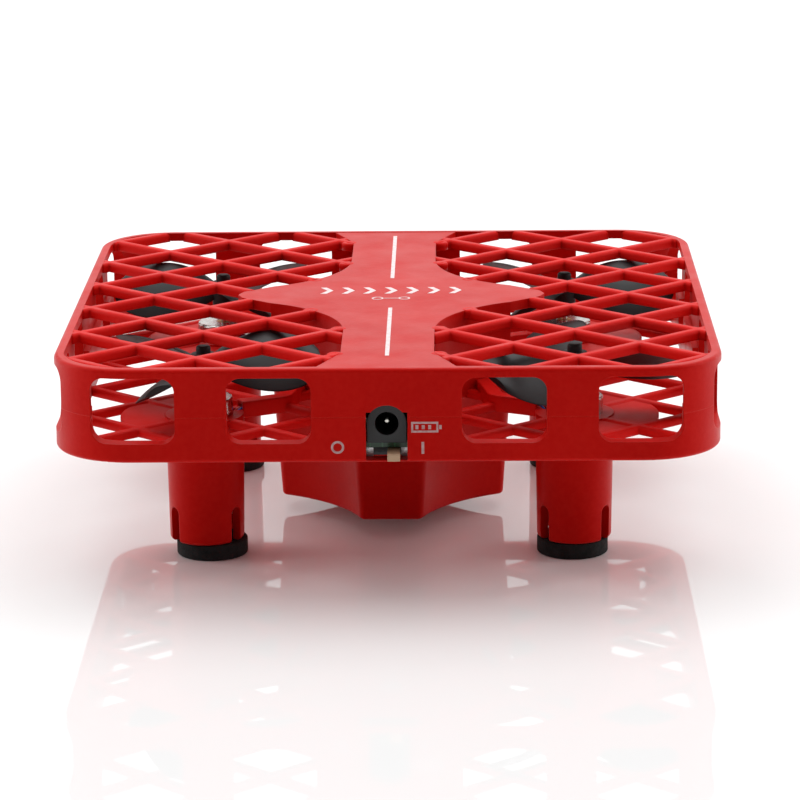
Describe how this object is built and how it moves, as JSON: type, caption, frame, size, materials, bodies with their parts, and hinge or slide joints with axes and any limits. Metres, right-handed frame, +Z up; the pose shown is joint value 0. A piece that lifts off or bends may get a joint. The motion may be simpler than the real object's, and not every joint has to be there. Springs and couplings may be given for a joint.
{
  "type": "palm quadrotor drone",
  "caption": "Palm-size square toy quadrotor: lattice cage with a solid centre deck, three-blade rotors in the corners, tubular motor legs and a star-shaped battery belly.",
  "frame": {"origin": "centre of the square body in plan, on the floor under the foot pads", "axes": "+Z up, -Y towards the front wall with the charging jack and the power switch, +X to the right of that wall seen from the front"},
  "size_m": [0.08, 0.0808, 0.0282],
  "materials": {
    "bearing_brass": "sintered",
    "board_green": "satin",
    "cap_white": "matte",
    "capacitor_tan": "matte",
    "cell_foil": "satin",
    "chip_black": "matte",
    "coil_copper": "enamelled",
    "contact_metal": "plated",
    "crystal_steel": "satin",
    "foam_grey": "matte",
    "jack_black": "satin",
    "led_clear": "gloss",
    "lever_tan": "matte",
    "magnet_grey": "matte",
    "motor_steel": "polished",
    "pad_rubber": "matte",
    "prop_black": "satin",
    "screw_steel": "zinc plated",
    "shaft_steel": "polished",
    "shell_red": "gloss",
    "switch_metal": "plated",
    "tape_yellow": "satin",
    "wire_black": "satin",
    "wire_blue": "satin",
    "wire_red": "satin"
  },
  "bodies": {
    "airframe": {"antenna_wire": "wire_black", "barometer": "crystal_steel", "battery_cell": "cell_foil", "battery_lead_black": "wire_black", "battery_lead_red": "wire_red", "battery_pad": "foam_grey", "battery_wrap": "tape_yellow", "belly_tub": "shell_red", "capacitors": "capacitor_tan", "controller_chip": "chip_black", "crystal": "crystal_steel", "dc_jack_contacts": "contact_metal", "dc_jack_housing": "jack_black", "dc_jack_pin": "contact_metal", "foot_pad_front_left": "pad_rubber", "foot_pad_front_right": "pad_rubber", "foot_pad_rear_left": "pad_rubber", "foot_pad_rear_right": "pad_rubber", "gyro_chip": "chip_black", "lower_grille": "shell_red", "lower_rim": "shell_red", "main_board": "board_green", "motor_bearings": "bearing_brass", "motor_can_front_left": "motor_steel", "motor_can_front_right": "motor_steel", "motor_can_rear_left": "motor_steel", "motor_can_rear_right": "motor_steel", "motor_drivers": "chip_black", "motor_end_cap_front_left": "cap_white", "motor_end_cap_front_right": "cap_white", "motor_end_cap_rear_left": "cap_white", "motor_end_cap_rear_right": "cap_white", "motor_leads_blue": "wire_blue", "motor_leads_red": "wire_red", "motor_leg_front_left": "shell_red", "motor_leg_front_right": "shell_red", "motor_leg_rear_left": "shell_red", "motor_leg_rear_right": "shell_red", "motor_magnets": "magnet_grey", "radio_chip": "chip_black", "shell_screws": "screw_steel", "status_leds": "led_clear", "switch_base": "jack_black", "switch_frame": "switch_metal", "upper_grille": "shell_red", "upper_shell": "shell_red"},
    "switch_slider": {"switch_lever": "lever_tan"},
    "rotor_front_left": {"propeller_front_left": "prop_black", "motor_shaft_front_left": "shaft_steel", "motor_coil_front_left": "coil_copper"},
    "rotor_front_right": {"propeller_front_right": "prop_black", "motor_shaft_front_right": "shaft_steel", "motor_coil_front_right": "coil_copper"},
    "rotor_rear_left": {"propeller_rear_left": "prop_black", "motor_shaft_rear_left": "shaft_steel", "motor_coil_rear_left": "coil_copper"},
    "rotor_rear_right": {"propeller_rear_right": "prop_black", "motor_shaft_rear_right": "shaft_steel", "motor_coil_rear_right": "coil_copper"}
  },
  "joints": [
    {"name": "rotor_spin_front_left", "type": "hinge", "parent": "airframe", "child": "rotor_front_left", "pos_m": [-0.0228, -0.0203, 0.0237], "axis": [0, 0, 1], "continuous": true},
    {"name": "rotor_spin_front_right", "type": "hinge", "parent": "airframe", "child": "rotor_front_right", "pos_m": [0.0228, -0.0203, 0.0237], "axis": [0, 0, 1], "continuous": true},
    {"name": "rotor_spin_rear_left", "type": "hinge", "parent": "airframe", "child": "rotor_rear_left", "pos_m": [-0.0228, 0.0203, 0.0237], "axis": [0, 0, 1], "continuous": true},
    {"name": "rotor_spin_rear_right", "type": "hinge", "parent": "airframe", "child": "rotor_rear_right", "pos_m": [0.0228, 0.0203, 0.0237], "axis": [0, 0, 1], "continuous": true},
    {"name": "switch_slide", "type": "slide", "parent": "airframe", "child": "switch_slider", "axis": [1, 0, 0], "range_m": [-0.0016, 0]}
  ]
}
